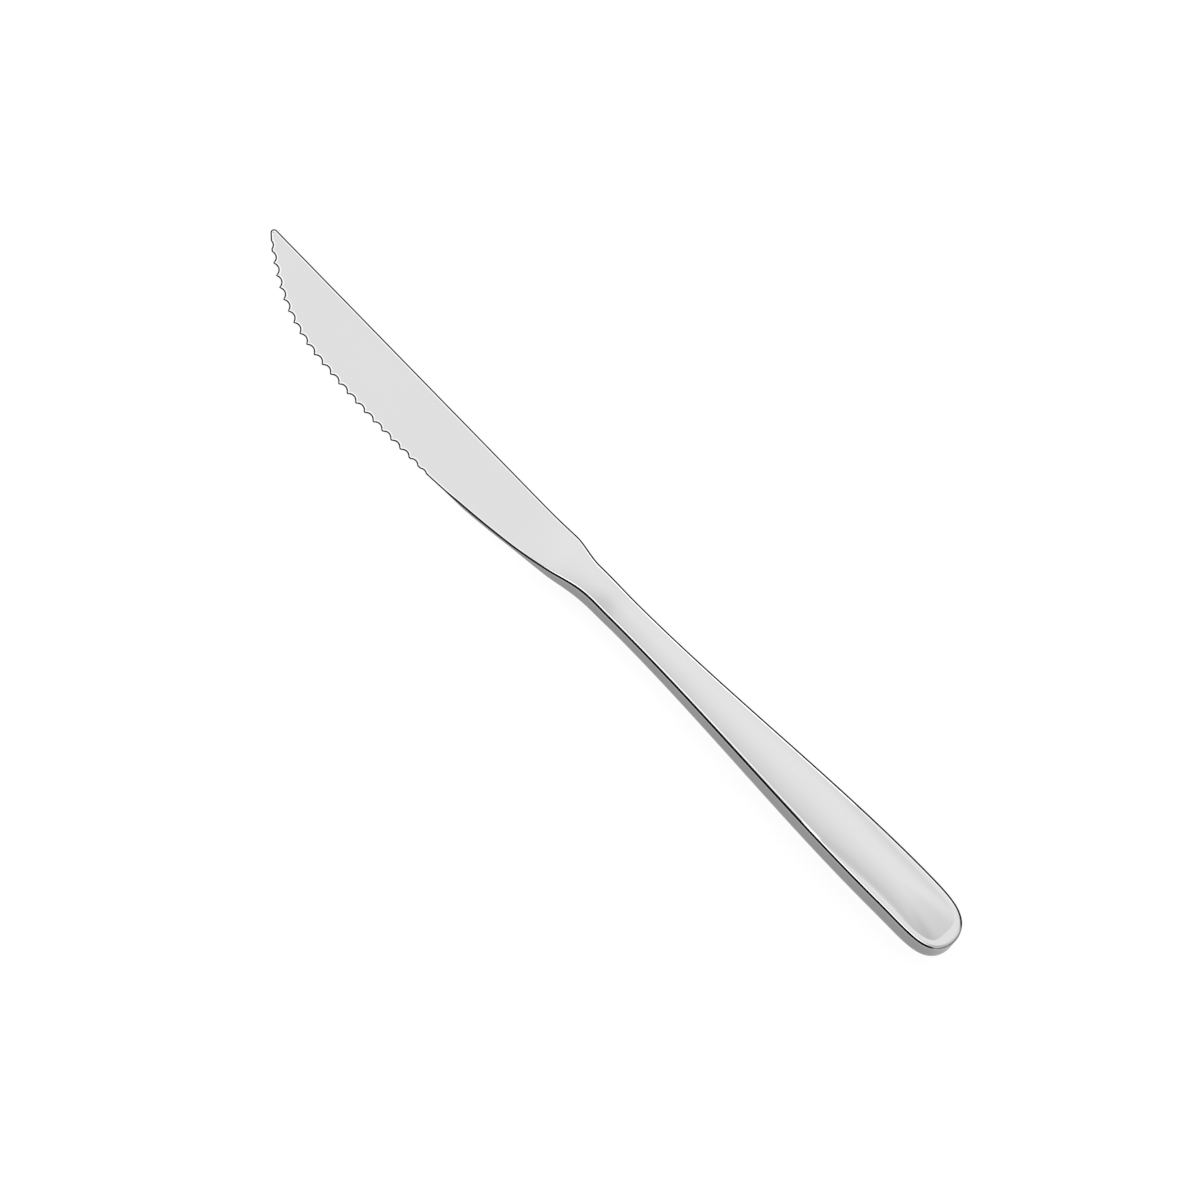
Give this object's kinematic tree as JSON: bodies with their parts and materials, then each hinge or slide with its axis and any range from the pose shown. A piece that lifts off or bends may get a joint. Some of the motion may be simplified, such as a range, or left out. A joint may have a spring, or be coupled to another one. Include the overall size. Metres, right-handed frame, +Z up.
{
  "type": "steak knife",
  "caption": "Slim steak knife with a serrated, one-sided ground blade, a drawn-in bolster and a hollow polished steel handle that ends in a pillowed panel.",
  "frame": {"origin": "centre of the small flat under the grip, on the table that the knife lies on", "axes": "+X along the knife towards the butt, +Y across it towards the spine, +Z up, away from the table"},
  "size_m": [0.2297, 0.0192, 0.0092],
  "materials": {
    "blade_steel": "polished",
    "handle_steel": "polished",
    "cement": "matt"
  },
  "bodies": {
    "root": {"blade": "blade_steel", "handle_shell_upper": "handle_steel", "handle_shell_lower": "handle_steel", "tang_cement": "cement"}
  },
  "joints": []
}
